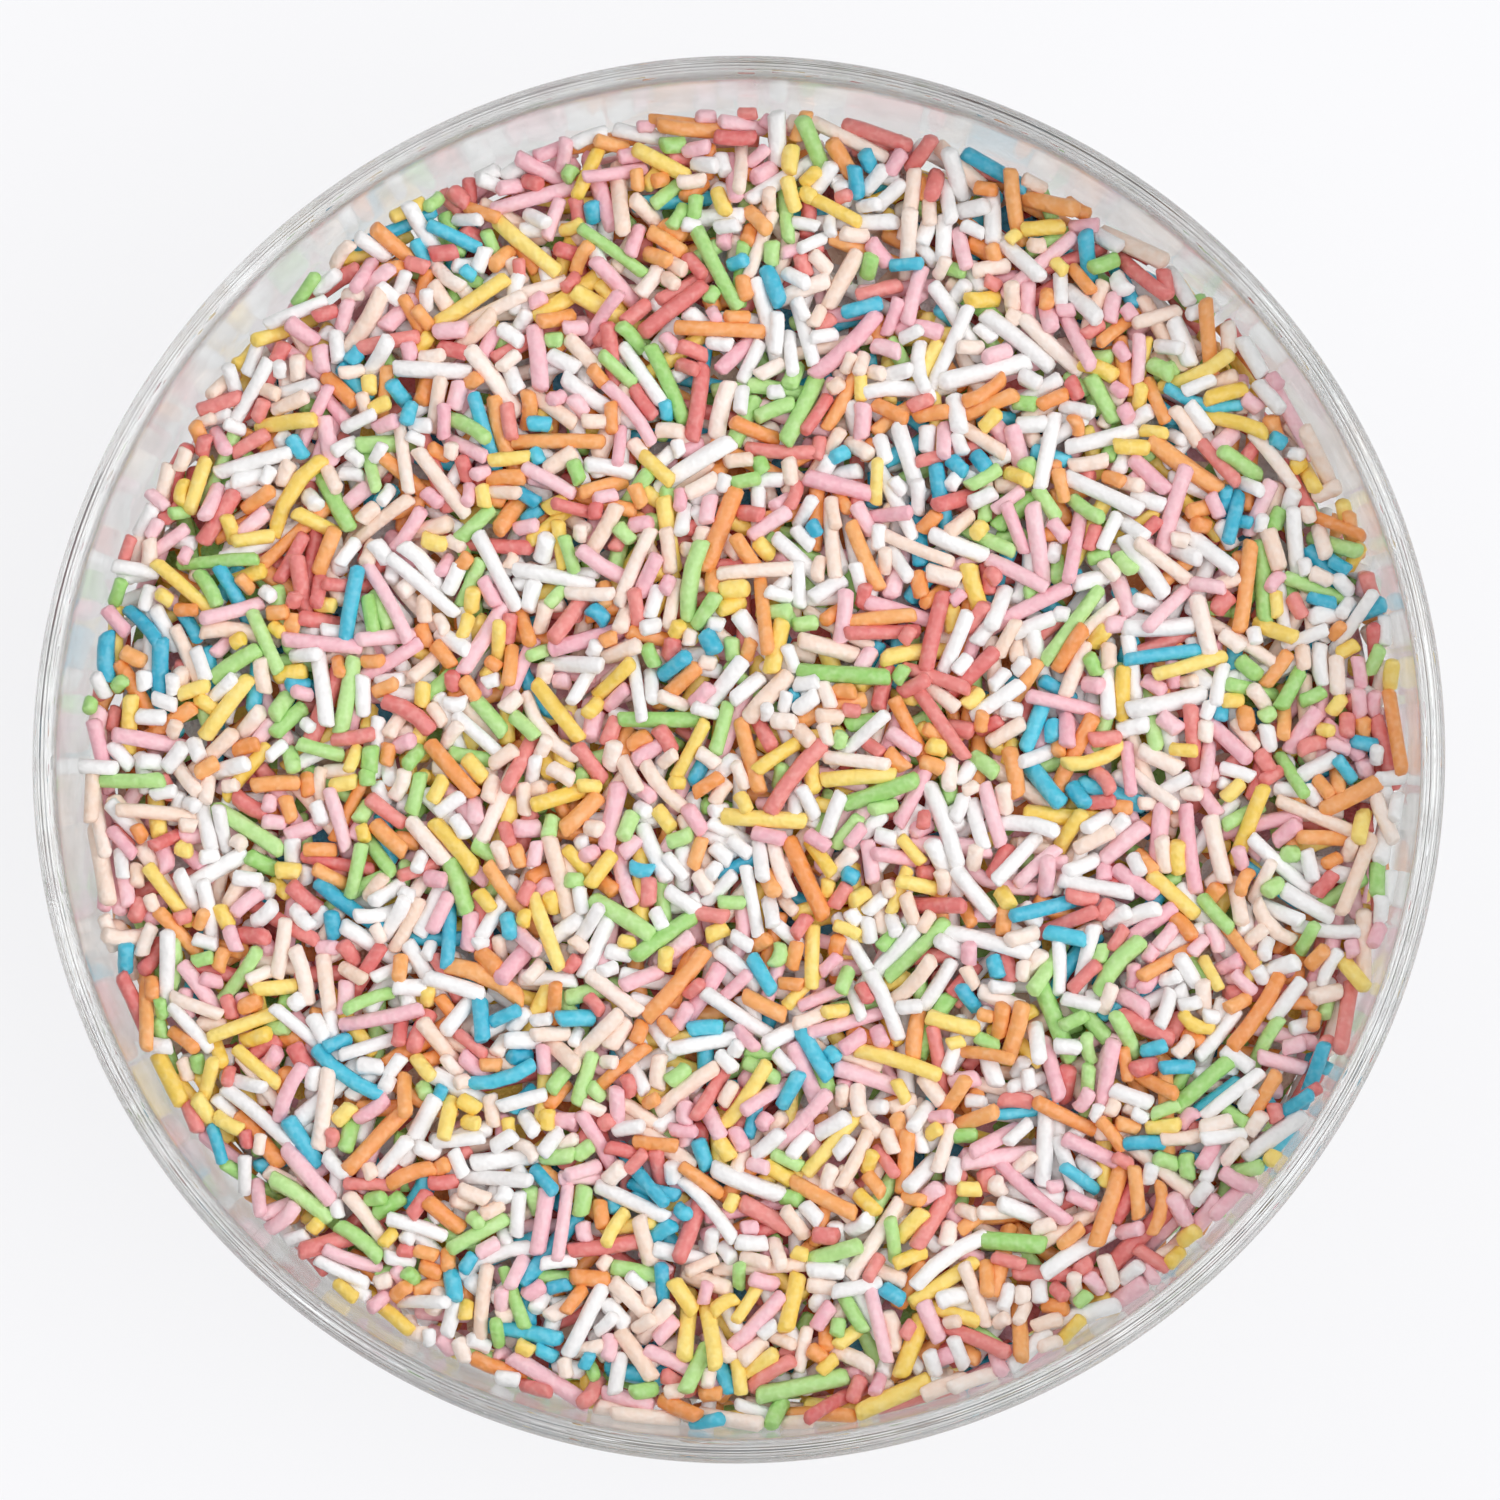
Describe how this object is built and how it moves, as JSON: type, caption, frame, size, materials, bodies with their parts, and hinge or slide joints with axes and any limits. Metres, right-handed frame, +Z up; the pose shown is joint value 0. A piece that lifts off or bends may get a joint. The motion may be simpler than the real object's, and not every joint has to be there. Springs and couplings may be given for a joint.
{
  "type": "bowl of sprinkles",
  "caption": "Small clear glass bowl with a rounded rim and a low foot ring, filled almost to the mouth with loose sugar strand sprinkles in mixed pastel colours.",
  "frame": {"origin": "centre of the foot ring, on the surface that the bowl stands on", "axes": "+Z up along the bowl's axis, +X to the picture's right, and -Y towards the picture's bottom edge, from where the camera looks down"},
  "size_m": [0.1, 0.1, 0.045],
  "materials": {
    "clear_glass": "clear, smooth and polished, with a rounded mouth",
    "mixed_sugar": "opaque sugar paste strands with a soft satin glaze, in white, pale pink, coral, orange, yellow, green and blue"
  },
  "bodies": {
    "root": {"bowl": "clear_glass", "sprinkles": "mixed_sugar"}
  },
  "joints": []
}
